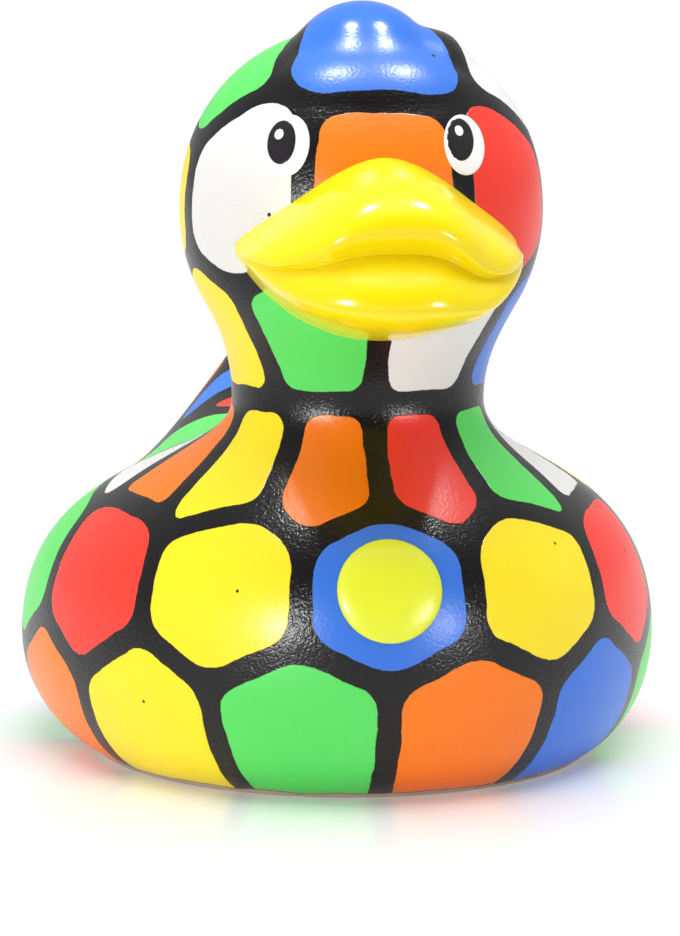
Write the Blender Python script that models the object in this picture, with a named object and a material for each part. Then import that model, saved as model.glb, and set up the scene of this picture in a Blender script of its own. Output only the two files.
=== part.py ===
"""Rubber duck, moulded in one hollow piece of soft vinyl.

The outside is one closed skin, from the flat base over the body, neck and head to the crown, with the
tail drawn up out of the rump and a small crest on the crown. It is a round form whose rings are laid
through three guide curves: one down the side, one down the front and one down the back. The bill is two
soft lips from cheek to cheek, joined to the head, and a round boss stands on the chest. An even wall is
left round the hollow, which opens to the air through a small round vent in the base.

Units are metres, +Z is up and the duck looks along -Y. The origin is at the middle of the base.
"""

import math

import bmesh
import bpy
from mathutils import Matrix, Vector
from mathutils.geometry import interpolate_bezier

MM = 0.001
FLAT = 1e-6
CREASE_ANGLE = math.radians(35)

# Body: reaches and setbacks are counted forward or back from the origin.
BODY_WIDTH = 79.2 * MM
WIDEST_HEIGHT = 13.2 * MM
WIDEST_SETBACK = 7.0 * MM
SHOULDER_HEIGHT = 36.0 * MM
CHEST_REACH = 43.5 * MM
CHEST_HEIGHT = 19.0 * MM
RUMP_REACH = 45.0 * MM
RUMP_HEIGHT = 14.0 * MM
BACK_HEIGHT = 37.0 * MM
BASE_WIDTH = 60.6 * MM
BASE_FRONT = 32.6 * MM
BASE_REAR = 36.0 * MM
BASE_EDGE_RADIUS = 1.2 * MM

# Neck and head: both are round, and their centres lie forward of the origin.
NECK_RADIUS = 15.1 * MM
NECK_HEIGHT = 44.8 * MM
NECK_FORWARD = 14.0 * MM
HEAD_RADIUS = 21.5 * MM
HEAD_HEIGHT = 67.5 * MM
HEAD_FORWARD = 17.0 * MM
JAW_SLOPE = math.radians(30)
CROWN_FULLNESS = 2.12

# Tail: its tip, how the tip is rounded and leans back, and the dip in the back in front of it.
TAIL_REACH = 50.0 * MM
TAIL_HEIGHT = 50.5 * MM
TAIL_TIP_ROUNDING = 3.6 * MM
TAIL_TIP_LEAN = math.radians(30)
SADDLE_REACH = 22.0 * MM
SADDLE_HEIGHT = 38.6 * MM
NAPE_DIP = 2.0 * MM
TAIL_SHARPNESS = 6

# How far each guide curve's handles reach, as shares of the stretch that they ease.
BASE_FLARE = 0.55
BASE_RISE = 0.15
HULL_EASE = 0.5
CHEST_EASE = 0.62
THROAT_EASE = 0.30
JAW_EASE = 0.38
TAIL_EASE = 0.45
SADDLE_EASE = 0.6

# Crest: a main lobe and a smaller one at its left run together. Their middles are counted across,
# forward and up from the head's centre.
MAIN_LOBE_ACROSS = -0.4 * MM
MAIN_LOBE_FORWARD = 3.5 * MM
MAIN_LOBE_HEIGHT = 16.8 * MM
MAIN_LOBE_WIDTH = 16.8 * MM
MAIN_LOBE_LENGTH = 17.6 * MM
MAIN_LOBE_DEPTH = 15.4 * MM
SIDE_LOBE_ACROSS = 7.4 * MM
SIDE_LOBE_FORWARD = 3.4 * MM
SIDE_LOBE_HEIGHT = 15.6 * MM
SIDE_LOBE_WIDTH = 10.4 * MM
SIDE_LOBE_LENGTH = 14.0 * MM
SIDE_LOBE_DEPTH = 11.2 * MM
CREST_BLEND = 1.6 * MM

# Bill: heights are counted up from the head's centre, and reaches forward from it.
BILL_WIDTH = 32.8 * MM
BILL_CORNER_REACH = 14.2 * MM
BILL_ROOT_DEPTH = 6.0 * MM
UPPER_LIP_REACH = 35.3 * MM
LOWER_LIP_REACH = 36.6 * MM
BRIDGE_HEIGHT = 8.6 * MM
CHEEK_HEIGHT = -1.4 * MM
DOME_HEIGHT = 12.2 * MM
DOME_FALL = 15.0 * MM
WING_FOLD = 0.8 * MM
MOUTH_HEIGHT = -4.65 * MM
MOUTH_WAVE = 1.45 * MM
MOUTH_LIFT = 1.3 * MM
MOUTH_DEPTH = 3.6 * MM
LIP_EDGE = 0.5 * MM
LIP_ARCH = 2.7 * MM
LIP_OVERLAP = 0.6 * MM
RIM_HEIGHT = -8.8 * MM
CHIN_HEIGHT = -14.4 * MM

# Shapes of the bill's curves: places across it run from 0 in the middle to 1 at a corner.
PLAN_BLUNTNESS = 3.0
CORNER_BLUNTNESS = 14
RIDGE_POWER = 0.6
BRIDGE_BLUNTNESS = 0.01
DOME_BLUNTNESS = 0.15
WING_START = 0.63
WING_WIDTH = 0.13
MOUTH_TROUGH = 0.64
TROUGH_POWER = 1.6
LIP_ROLL = 0.3
LIFT_WIDTH = 0.26
ARCH_END = 0.85
ARCH_BLUNTNESS = 3
ARCH_SOFTNESS = 1.5
CHIN_SHARPNESS = 2.3

# How far the handles of the bill's curves reach, as shares of the stretch that they ease.
ROOF_EASE = 0.36
BROW_LEAN = 0.02
BROW_DROP = 0.85
PALATE_RUN = 0.2
PALATE_RISE = 0.4
SHELF_RUN = 0.5
SHELF_FALL = 0.25
RIM_EASE = 0.45
CHIN_EASE = 0.6
HEEL_EASE = 0.45

# Boss on the chest.
BOSS_DIAMETER = 12.0 * MM
BOSS_RELIEF = 0.7 * MM
BOSS_HEIGHT = 26.0 * MM
BOSS_DEPTH = 3.0 * MM
BOSS_EDGE_RADIUS = 0.4 * MM

# Wall and vent.
WALL = 2.4 * MM
VENT_DIAMETER = 4.0 * MM
VENT_SETBACK = 10.0 * MM

# Steps of the rings up each stretch of the body, and round it.
RING_STEPS = {"hull": 6, "shoulder": 21, "throat": 4, "head": 16}
TAIL_SHARE = 0.45
SADDLE_SHARE = 0.30
TURN_STEPS = 56
HOLLOW_SHARE = 0.5
LIP_COLUMNS = 26
SECTION_STEPS = {"bridge": 6, "roll": 5, "mouth": 2}
ROUND_STEPS = 32
CHEST_SEARCH_STEPS = {"hull": 40, "shoulder": 200, "throat": 2, "head": 2}

COLOURS = {
    "black_paint": ((0.016, 0.014, 0.015, 1.0), 0.35),
    "yellow_paint": ((0.95, 0.80, 0.01, 1.0), 0.22),
    "green_paint": ((0.66, 0.80, 0.03, 1.0), 0.35),
    "bare_vinyl": ((0.80, 0.74, 0.64, 1.0), 0.5),
}


def clear_scene():
    for item in list(bpy.data.objects):
        bpy.data.objects.remove(item, do_unlink=True)


def paint(name):
    """A plain glossy finish of one colour."""
    colour, roughness = COLOURS[name]
    material = bpy.data.materials.new(name)
    material.use_nodes = True
    shader = material.node_tree.nodes["Principled BSDF"]
    shader.inputs["Base Color"].default_value = colour
    shader.inputs["Roughness"].default_value = roughness
    material.diffuse_color = colour
    return material


def bezier(knot, handle, next_handle, next_knot, steps):
    """The points of one cubic curve, without its first."""
    knots = [Vector(point) for point in (knot, handle, next_handle, next_knot)]
    return interpolate_bezier(*knots, steps + 1)[1:]


def head_stretches(steps):
    """Radius, setback and height of the round rings from above the neck to below the crown."""
    def on_head(slope):
        across, up = math.cos(slope), math.sin(slope)
        fullness = CROWN_FULLNESS if up > 0 else 2.0
        radius = HEAD_RADIUS / (across ** fullness + abs(up) ** fullness) ** (1 / fullness)
        return Vector((radius * across, -HEAD_FORWARD, HEAD_HEIGHT + radius * up))

    neck = Vector((NECK_RADIUS, -NECK_FORWARD, NECK_HEIGHT))
    jaw = on_head(-JAW_SLOPE)
    reach = JAW_EASE * (jaw.z - neck.z)
    neck_handle = neck + Vector((0.0, 0.0, reach))
    jaw_handle = jaw - Vector((math.sin(JAW_SLOPE), 0.0, math.cos(JAW_SLOPE))) * reach
    turn = math.pi / 2 + JAW_SLOPE
    head = [on_head(-JAW_SLOPE + turn * step / steps["head"]) for step in range(1, steps["head"])]
    return bezier(neck, neck_handle, jaw_handle, jaw, steps["throat"]) + head


def side_guide(steps):
    """The duck's side, as (half width, setback, height), from the base's edge to below the crown."""
    base = (BASE_WIDTH / 2, (BASE_REAR - BASE_FRONT) / 2, 0.0)
    widest = (BODY_WIDTH / 2, WIDEST_SETBACK, WIDEST_HEIGHT)
    flare = base[0] + BASE_FLARE * (widest[0] - base[0])
    base_handle = (flare, base[1], BASE_RISE * WIDEST_HEIGHT)
    widest_handle = (BODY_WIDTH / 2, WIDEST_SETBACK, HULL_EASE * WIDEST_HEIGHT)
    neck = (NECK_RADIUS, -NECK_FORWARD, NECK_HEIGHT)
    shoulder_handle = (BODY_WIDTH / 2, WIDEST_SETBACK, SHOULDER_HEIGHT)
    neck_handle = (NECK_RADIUS, -NECK_FORWARD, SHOULDER_HEIGHT)
    return ([Vector(base)] + bezier(base, base_handle, widest_handle, widest, steps["hull"])
            + bezier(widest, shoulder_handle, neck_handle, neck, steps["shoulder"])
            + head_stretches(steps))


def front_guide(steps):
    """The middle of the chest, throat and face, from the base's edge to below the crown."""
    base = (0.0, -BASE_FRONT, 0.0)
    chest = (0.0, -CHEST_REACH, CHEST_HEIGHT)
    neck = (0.0, -NECK_FORWARD - NECK_RADIUS, NECK_HEIGHT)
    rise = NECK_HEIGHT - CHEST_HEIGHT
    flare = base[1] + BASE_FLARE * (chest[1] - base[1])
    base_handle = (0.0, flare, BASE_RISE * CHEST_HEIGHT)
    chest_handle = (0.0, -CHEST_REACH, HULL_EASE * CHEST_HEIGHT)
    upper_handle = (0.0, -CHEST_REACH, CHEST_HEIGHT + CHEST_EASE * rise)
    neck_handle = (0.0, neck[1], NECK_HEIGHT - THROAT_EASE * rise)
    return ([Vector(base)] + bezier(base, base_handle, chest_handle, chest, steps["hull"])
            + bezier(chest, upper_handle, neck_handle, neck, steps["shoulder"])
            + [Vector((0.0, ring.y - ring.x, ring.z)) for ring in head_stretches(steps)])


def rear_guide(steps):
    """The back as it runs beside the tail, from the base's edge to below the crown."""
    base = (0.0, BASE_REAR, 0.0)
    rump = (0.0, RUMP_REACH, RUMP_HEIGHT)
    nape = (0.0, NECK_RADIUS - NECK_FORWARD, NECK_HEIGHT)
    flare = base[1] + BASE_FLARE * (rump[1] - base[1])
    base_handle = (0.0, flare, BASE_RISE * RUMP_HEIGHT)
    rump_handle = (0.0, RUMP_REACH, HULL_EASE * RUMP_HEIGHT)
    back_handle = (0.0, RUMP_REACH, BACK_HEIGHT)
    nape_handle = (0.0, nape[1], SADDLE_HEIGHT - NAPE_DIP)
    return ([Vector(base)] + bezier(base, base_handle, rump_handle, rump, steps["hull"])
            + bezier(rump, back_handle, nape_handle, nape, steps["shoulder"])
            + [Vector((0.0, ring.y + ring.x, ring.z)) for ring in head_stretches(steps)])


def tail_guide(steps):
    """The middle of the back, up the rump, over the tail's tip and through the saddle to the nape."""
    rump = Vector((0.0, RUMP_REACH, RUMP_HEIGHT))
    tip = Vector((0.0, TAIL_REACH, TAIL_HEIGHT))
    saddle = Vector((0.0, SADDLE_REACH, SADDLE_HEIGHT))
    nape = Vector((0.0, NECK_RADIUS - NECK_FORWARD, NECK_HEIGHT))
    over = Vector((0.0, -math.cos(TAIL_TIP_LEAN), math.sin(TAIL_TIP_LEAN))) * TAIL_TIP_ROUNDING
    up = Vector((0.0, 0.0, HULL_EASE * (TAIL_HEIGHT - RUMP_HEIGHT)))
    along = Vector((0.0, TAIL_EASE * (TAIL_REACH - SADDLE_REACH), 0.0))
    to_nape = Vector((0.0, SADDLE_EASE * (SADDLE_REACH - nape.y), 0.0))
    below_nape = nape - Vector((0.0, 0.0, HULL_EASE * (NECK_HEIGHT - SADDLE_HEIGHT)))
    outer = round(steps["shoulder"] * TAIL_SHARE)
    inner = round(steps["shoulder"] * SADDLE_SHARE)
    return (bezier(rump, rump + up, tip - over, tip, outer)
            + bezier(tip, tip + over, saddle + along, saddle, inner)
            + bezier(saddle, saddle - to_nape, below_nape, nape, steps["shoulder"] - outer - inner))


class BodyForm:
    """The skin's shape: a point for each ring up from the base and each turn from the front."""

    def __init__(self, share=1.0):
        steps = {name: max(2, round(count * share)) for name, count in RING_STEPS.items()}
        self.side = side_guide(steps)
        self.front = front_guide(steps)
        self.rear = rear_guide(steps)
        self.pull = [Vector()] * len(self.side)
        for step, point in enumerate(tail_guide(steps)):
            ring = steps["hull"] + 1 + step
            self.pull[ring] = point - self.rear[ring]
        self.rings = len(self.side)

    def point(self, ring, turn):
        side, front, rear = self.side[ring], self.front[ring], self.rear[ring]
        ahead = math.cos(turn)
        middle = (front + rear) / 2
        y = side.y + (front.y - rear.y) / 2 * ahead + (middle.y - side.y) * ahead ** 2
        z = side.z + (front.z - rear.z) / 2 * ahead + (middle.z - side.z) * ahead ** 2
        drawn = max(0.0, -ahead) ** TAIL_SHARPNESS
        return Vector((side.x * math.sin(turn), y, z)) + self.pull[ring] * drawn


def lobe_radius(direction, centre, radii):
    """How far out a crest lobe reaches in a direction from the head's centre, or nothing."""
    d = Vector([direction[i] / radii[i] for i in range(3)])
    c = Vector([centre[i] / radii[i] for i in range(3)])
    half = d.dot(c)
    spare = half ** 2 - d.dot(d) * (c.dot(c) - 1)
    return (half + math.sqrt(spare)) / d.dot(d) if spare > 0 and half > 0 else 0.0


def soft_larger(first, second, width):
    """The larger of two lengths, with a fillet where they are nearly equal."""
    near = max(width - abs(first - second), 0.0)
    return max(first, second) + near ** 2 / (4 * width)


def crest_lobes():
    """Each lobe's middle, as (across, forward, up) from the head's centre, and its three radii."""
    main = Vector((MAIN_LOBE_ACROSS, MAIN_LOBE_FORWARD, MAIN_LOBE_HEIGHT))
    main_radii = Vector((MAIN_LOBE_WIDTH, MAIN_LOBE_LENGTH, MAIN_LOBE_DEPTH)) / 2
    side = Vector((SIDE_LOBE_ACROSS, SIDE_LOBE_FORWARD, SIDE_LOBE_HEIGHT))
    side_radii = Vector((SIDE_LOBE_WIDTH, SIDE_LOBE_LENGTH, SIDE_LOBE_DEPTH)) / 2
    return (main, main_radii), (side, side_radii)


def with_crest(point):
    """Lifts a point of the round crown onto the crest."""
    centre = Vector((0.0, -HEAD_FORWARD, HEAD_HEIGHT))
    out = point - centre
    if out.z < HEAD_RADIUS / 3:
        return point
    direction = out.normalized()
    seen_forward = Vector((direction.x, -direction.y, direction.z))
    radius = out.length
    for lobe_centre, radii in crest_lobes():
        radius = soft_larger(radius, lobe_radius(seen_forward, lobe_centre, radii), CREST_BLEND)
    return centre + direction * radius


def skin_mesh(share=1.0, crest=True):
    """A round mesh with its poles at the base and the crown, laid on the body's form."""
    form = BodyForm(share)
    turns = round(TURN_STEPS * share)
    mesh = bmesh.new()
    bmesh.ops.create_uvsphere(mesh, u_segments=turns, v_segments=form.rings + 1, radius=1.0)
    for vert in mesh.verts:
        level = round((form.rings + 1) * math.acos(max(-1.0, min(1.0, -vert.co.z))) / math.pi)
        if level == 0:
            vert.co = Vector((0.0, (BASE_REAR - BASE_FRONT) / 2, 0.0))
        elif level == form.rings + 1:
            vert.co = Vector((0.0, -HEAD_FORWARD, HEAD_HEIGHT + HEAD_RADIUS))
        else:
            vert.co = form.point(level - 1, math.atan2(vert.co.x, -vert.co.y))
        if crest:
            vert.co = with_crest(vert.co)
    return mesh


def round_base_edge(mesh):
    def on_rim(vert):
        return vert.co.z < FLAT and vert.co.length > BASE_WIDTH / 3

    rim = [edge for edge in mesh.edges if all(on_rim(vert) for vert in edge.verts)]
    bmesh.ops.bevel(mesh, geom=rim, offset=BASE_EDGE_RADIUS, segments=2, profile=0.5, affect="EDGES",
                    material=-1)


def hollow_mesh():
    """The space inside: the same form one wall further in, with a flat floor."""
    mesh = skin_mesh(HOLLOW_SHARE, crest=False)
    mesh.normal_update()
    inward = {vert: vert.normal * WALL * vert.calc_shell_factor() for vert in mesh.verts}
    for vert, step in inward.items():
        vert.co -= step
        vert.co.z = max(vert.co.z, WALL)
    return mesh


def hump(place, middle, width):
    """A smooth hump of height one."""
    return math.exp(-((place - middle) / width) ** 2)


class BillForm:
    """The bill's measures at each place across it, from -1 at one corner to 1 at the other."""

    def __init__(self, across):
        away = abs(across)
        self.across = across
        self.open = math.sqrt(max(0.0, 1 - away ** PLAN_BLUNTNESS))
        self.plump = math.sqrt(max(0.0, 1 - away ** CORNER_BLUNTNESS))
        self.fold = WING_FOLD * hump(away, WING_START, WING_WIDTH)
        share = away / MOUTH_TROUGH
        wave = math.cos(math.pi * (share ** TROUGH_POWER if share < 1 else share))
        lift = MOUTH_LIFT * hump(across, -WING_START, LIFT_WIDTH)
        self.mouth = MOUTH_HEIGHT + MOUTH_WAVE * wave + lift
        self.root = BILL_CORNER_REACH - BILL_ROOT_DEPTH * self.open

    def reach(self, middle_reach):
        return BILL_CORNER_REACH + (middle_reach - BILL_CORNER_REACH) * self.open

    def height(self, above_mouth):
        return self.mouth + above_mouth * self.plump

    def ridge(self, bluntness):
        """How far the bill's roof has fallen off towards the corners."""
        return (self.across ** 2 + bluntness) ** RIDGE_POWER

    def inner(self):
        """Where the two lips meet at the back of the mouth."""
        return Vector((self.reach(UPPER_LIP_REACH) - MOUTH_DEPTH * self.open, self.mouth))

    def place(self, forward, height):
        x = self.across * BILL_WIDTH / 2
        return Vector((x, -HEAD_FORWARD - forward, HEAD_HEIGHT + height))


def straight(start, end, steps):
    """Even steps along a line, without its first point."""
    return [start.lerp(end, step / steps) for step in range(1, steps + 1)]


def upper_section(form):
    """From the root's top over the dome to the lip's arched edge, into the mouth and to the root."""
    top = BRIDGE_HEIGHT + (CHEEK_HEIGHT - BRIDGE_HEIGHT) * form.ridge(BRIDGE_BLUNTNESS)
    crown = form.height(DOME_HEIGHT - DOME_FALL * form.ridge(DOME_BLUNTNESS) - form.mouth)
    arched = max(0.0, 1 - abs(form.across / ARCH_END) ** ARCH_BLUNTNESS) ** ARCH_SOFTNESS
    root = Vector((form.root, form.height(top - form.mouth)))
    edge = Vector((form.reach(UPPER_LIP_REACH) - form.fold, form.height(LIP_EDGE + LIP_ARCH * arched)))
    inner = form.inner()
    span = edge.x - root.x
    over_root = (root.x + ROOF_EASE * span, crown)
    over_edge = Vector((edge.x - BROW_LEAN * span, edge.y + BROW_DROP * (crown - edge.y)))
    below_edge = edge + (edge - over_edge) * LIP_ROLL
    above_inner = inner + Vector((PALATE_RUN * (edge.x - inner.x), PALATE_RISE * (edge.y - inner.y)))
    back = Vector((form.root, form.height(-LIP_OVERLAP)))
    return ([root] + bezier(root, over_root, over_edge, edge, SECTION_STEPS["bridge"])
            + bezier(edge, below_edge, above_inner, inner, SECTION_STEPS["roll"])
            + straight(inner, back, SECTION_STEPS["mouth"]))


def lower_section(form):
    """From the root's top inside the mouth over the lower lip and under the chin to the root."""
    middle_mouth = MOUTH_HEIGHT + MOUTH_WAVE
    chin = CHIN_HEIGHT + (form.mouth - CHIN_HEIGHT) * abs(form.across) ** CHIN_SHARPNESS
    rim_share = (RIM_HEIGHT - middle_mouth) / (CHIN_HEIGHT - middle_mouth)
    top = Vector((form.root, form.height(LIP_OVERLAP)))
    inner = form.inner()
    rim = Vector((form.reach(LOWER_LIP_REACH), form.mouth + (chin - form.mouth) * rim_share))
    heel = Vector((form.root, chin))
    on_shelf = inner + Vector((SHELF_RUN * (rim.x - inner.x), SHELF_FALL * (rim.y - inner.y)))
    above_rim = (rim.x, rim.y + RIM_EASE * (inner.y - rim.y))
    below_rim = (rim.x, rim.y + CHIN_EASE * (chin - rim.y))
    before_heel = (heel.x + HEEL_EASE * (rim.x - heel.x), chin)
    return ([top] + straight(top, inner, SECTION_STEPS["mouth"])
            + bezier(inner, on_shelf, above_rim, rim, SECTION_STEPS["roll"])
            + bezier(rim, below_rim, before_heel, heel, SECTION_STEPS["bridge"]))


def lip_mesh(section):
    """A round mesh with its poles at the corners of the mouth, laid on a lip's sections."""
    around = len(section(BillForm(0.0)))
    mesh = bmesh.new()
    bmesh.ops.create_uvsphere(mesh, u_segments=around, v_segments=LIP_COLUMNS, radius=1.0)
    for vert in mesh.verts:
        form = BillForm(vert.co.z)
        step = round(around * math.atan2(vert.co.y, vert.co.x) / math.tau) % around
        if abs(vert.co.z) > 1 - FLAT:
            vert.co = form.place(BILL_CORNER_REACH, form.mouth)
        else:
            vert.co = form.place(*section(form)[step])
    bmesh.ops.recalc_face_normals(mesh, faces=mesh.faces)
    return mesh


def boss_mesh(form_point, outward):
    """A flat round disc with a soft edge, let into the chest."""
    mesh = bmesh.new()
    bmesh.ops.create_cone(mesh, cap_ends=True, segments=ROUND_STEPS, radius1=BOSS_DIAMETER / 2,
                          radius2=BOSS_DIAMETER / 2, depth=BOSS_DEPTH + BOSS_RELIEF)
    bmesh.ops.translate(mesh, verts=mesh.verts, vec=(0.0, 0.0, (BOSS_RELIEF - BOSS_DEPTH) / 2))
    face_edges = [edge for edge in mesh.edges
                  if all(abs(vert.co.z - BOSS_RELIEF) < FLAT for vert in edge.verts)]
    bmesh.ops.bevel(mesh, geom=face_edges, offset=BOSS_EDGE_RADIUS, segments=2, profile=0.5, affect="EDGES",
                    material=-1)
    turn = Vector((0.0, 0.0, 1.0)).rotation_difference(outward).to_matrix().to_4x4()
    bmesh.ops.transform(mesh, matrix=Matrix.Translation(form_point) @ turn, verts=mesh.verts)
    return mesh


def chest_at(height):
    """The point of the chest's middle line at a height, and the way it faces."""
    guide = front_guide(CHEST_SEARCH_STEPS)
    inside = range(1, CHEST_SEARCH_STEPS["hull"] + CHEST_SEARCH_STEPS["shoulder"])
    place = min(inside, key=lambda index: abs(guide[index].z - height))
    along = guide[place + 1] - guide[place - 1]
    return guide[place], Vector((0.0, -along.z, along.y)).normalized()


def vent_mesh():
    mesh = bmesh.new()
    bmesh.ops.create_cone(mesh, cap_ends=True, segments=ROUND_STEPS, radius1=VENT_DIAMETER / 2,
                          radius2=VENT_DIAMETER / 2, depth=4 * WALL)
    bmesh.ops.translate(mesh, verts=mesh.verts, vec=(0.0, VENT_SETBACK, 0.0))
    return mesh


def add_object(name, mesh, materials):
    data = bpy.data.meshes.new(name)
    mesh.to_mesh(data)
    mesh.free()
    for material in materials:
        data.materials.append(material)
    data.shade_smooth()
    item = bpy.data.objects.new(name, data)
    bpy.context.scene.collection.objects.link(item)
    return item


def combine(target, operation, name, mesh, material):
    """Joins a form to the duck, or cuts it out."""
    tool = add_object(name, mesh, [material])
    modifier = target.modifiers.new(name, "BOOLEAN")
    modifier.operation = operation
    modifier.solver = "EXACT"
    modifier.material_mode = "TRANSFER"
    modifier.object = tool


def settle(target):
    """Makes the joined form the piece's own mesh, with its creases kept sharp, and clears the tools."""
    joined = target.evaluated_get(bpy.context.evaluated_depsgraph_get())
    data = bpy.data.meshes.new_from_object(joined)
    data.set_sharp_from_angle(angle=CREASE_ANGLE)
    tools = [modifier.object for modifier in target.modifiers]
    target.modifiers.clear()
    target.data = data
    data.name = target.name
    for tool in tools:
        bpy.data.objects.remove(tool, do_unlink=True)


def build():
    clear_scene()
    black, yellow, green, bare = (paint(name) for name in COLOURS)
    skin = skin_mesh()
    for face in skin.faces:
        face.material_index = 1 if face.calc_center_median().z < FLAT else 0
    round_base_edge(skin)
    duck = add_object("duck", skin, [black, bare])
    combine(duck, "UNION", "upper_lip_form", lip_mesh(upper_section), yellow)
    combine(duck, "UNION", "lower_lip_form", lip_mesh(lower_section), yellow)
    combine(duck, "UNION", "boss_form", boss_mesh(*chest_at(BOSS_HEIGHT)), green)
    combine(duck, "DIFFERENCE", "hollow_form", hollow_mesh(), bare)
    combine(duck, "DIFFERENCE", "vent_form", vent_mesh(), bare)
    settle(duck)


build()
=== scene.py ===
import math

import bmesh
import bpy
import numpy as np
from mathutils import Matrix, Vector
from mathutils.bvhtree import BVHTree
from mathutils.geometry import interpolate_bezier


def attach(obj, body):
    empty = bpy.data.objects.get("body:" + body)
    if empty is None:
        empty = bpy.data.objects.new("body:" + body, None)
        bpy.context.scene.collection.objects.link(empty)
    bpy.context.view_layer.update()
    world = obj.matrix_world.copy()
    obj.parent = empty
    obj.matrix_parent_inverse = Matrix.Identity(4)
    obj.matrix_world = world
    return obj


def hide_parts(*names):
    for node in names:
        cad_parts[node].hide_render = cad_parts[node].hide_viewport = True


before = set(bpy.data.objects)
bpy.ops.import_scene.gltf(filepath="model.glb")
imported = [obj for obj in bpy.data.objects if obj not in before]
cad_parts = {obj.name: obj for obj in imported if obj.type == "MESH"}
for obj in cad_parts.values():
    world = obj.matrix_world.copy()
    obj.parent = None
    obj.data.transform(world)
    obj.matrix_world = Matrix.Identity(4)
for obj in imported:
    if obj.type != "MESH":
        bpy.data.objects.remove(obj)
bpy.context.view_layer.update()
MM = 0.001

# Vinyl moulding
# The duck is one hollow casting of soft vinyl, turned out of a metal mould. Its skin is a round form
# laid through guide curves up the side, the front and the back, with the tail drawn out of the rump
# and a soft crest of two lobes, with a swelling at its brow, pressed up out of the crown.

BODY_HALF_WIDTH = 39.6 * MM
WIDEST_HEIGHT = 13.2 * MM
WIDEST_SETBACK = 7.0 * MM
SHOULDER_HEIGHT = 36.0 * MM
CHEST_REACH = 43.5 * MM
CHEST_HEIGHT = 19.0 * MM
RUMP_REACH = 45.0 * MM
RUMP_HEIGHT = 14.0 * MM
BACK_HEIGHT = 37.0 * MM
BASE_HALF_WIDTH = 30.3 * MM
BASE_FRONT = 32.6 * MM
BASE_REAR = 36.0 * MM
BASE_EDGE_RADIUS = 1.2 * MM
NECK_RADIUS = 15.1 * MM
NECK_HEIGHT = 44.8 * MM
NECK_FORWARD = 14.0 * MM
HEAD_RADIUS = 21.5 * MM
HEAD_HEIGHT = 67.5 * MM
HEAD_FORWARD = 17.0 * MM
JAW_SLOPE = math.radians(30)
CROWN_FULLNESS = 2.12
TAIL_REACH = 50.0 * MM
TAIL_HEIGHT = 50.5 * MM
TAIL_TIP_ROUNDING = 3.6 * MM
TAIL_TIP_LEAN = math.radians(30)
TAIL_SHARPNESS = 6
SADDLE_REACH = 22.0 * MM
SADDLE_HEIGHT = 38.6 * MM
NAPE_DIP = 2.0 * MM
# How far each guide curve's handles reach, as shares of the stretch that they ease.
BASE_FLARE = 0.55
BASE_RISE = 0.15
HULL_EASE = 0.5
CHEST_EASE = 0.62
THROAT_EASE = 0.30
JAW_EASE = 0.38
TAIL_EASE = 0.45
SADDLE_EASE = 0.6
# Each crest lobe's middle across, forward and up from the head's centre, its radii and its fillet.
CREST_LOBES = (
    (Vector((-0.4, 3.5, 16.8)) * MM, Vector((8.4, 8.8, 7.7)) * MM, 1.6 * MM),
    (Vector((7.4, 3.4, 15.6)) * MM, Vector((5.2, 7.0, 5.6)) * MM, 1.6 * MM),
    (Vector((-0.2, 9.6, 12.8)) * MM, Vector((10.0, 6.6, 5.6)) * MM, 3.2 * MM),
)
CREST_FOOT = HEAD_RADIUS / 5
VENT_RADIUS = 2.0 * MM
VENT_SETBACK = 10.0 * MM
VENT_DEPTH = 5.0 * MM
VENT_CHAMFER = 0.3 * MM
VENT_RINGS = ((VENT_RADIUS, VENT_DEPTH), (VENT_RADIUS, VENT_CHAMFER), (VENT_RADIUS + VENT_CHAMFER, 0.0))
RING_STEPS = {"hull": 22, "shoulder": 96, "throat": 18, "head": 74}
TAIL_SHARE = 0.45
SADDLE_SHARE = 0.30
TURN_STEPS = 256
TINY = 1e-6
HEAD_CENTRE = Vector((0.0, -HEAD_FORWARD, HEAD_HEIGHT))


def bezier(knot, handle, next_handle, next_knot, steps):
    """The points of one cubic curve, without its first."""
    knots = [Vector(point) for point in (knot, handle, next_handle, next_knot)]
    return interpolate_bezier(*knots, steps + 1)[1:]


def head_rings(steps):
    """Radius, setback and height of the round rings from above the neck to below the crown."""
    def on_head(slope):
        across, up = math.cos(slope), math.sin(slope)
        fullness = CROWN_FULLNESS if up > 0 else 2.0
        radius = HEAD_RADIUS / (across ** fullness + abs(up) ** fullness) ** (1 / fullness)
        return Vector((radius * across, -HEAD_FORWARD, HEAD_HEIGHT + radius * up))

    neck = Vector((NECK_RADIUS, -NECK_FORWARD, NECK_HEIGHT))
    jaw = on_head(-JAW_SLOPE)
    reach = JAW_EASE * (jaw.z - neck.z)
    neck_handle = neck + Vector((0.0, 0.0, reach))
    jaw_handle = jaw - Vector((math.sin(JAW_SLOPE), 0.0, math.cos(JAW_SLOPE))) * reach
    turn = math.pi / 2 + JAW_SLOPE
    head = [on_head(-JAW_SLOPE + turn * step / steps["head"]) for step in range(1, steps["head"])]
    return bezier(neck, neck_handle, jaw_handle, jaw, steps["throat"]) + head


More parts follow.
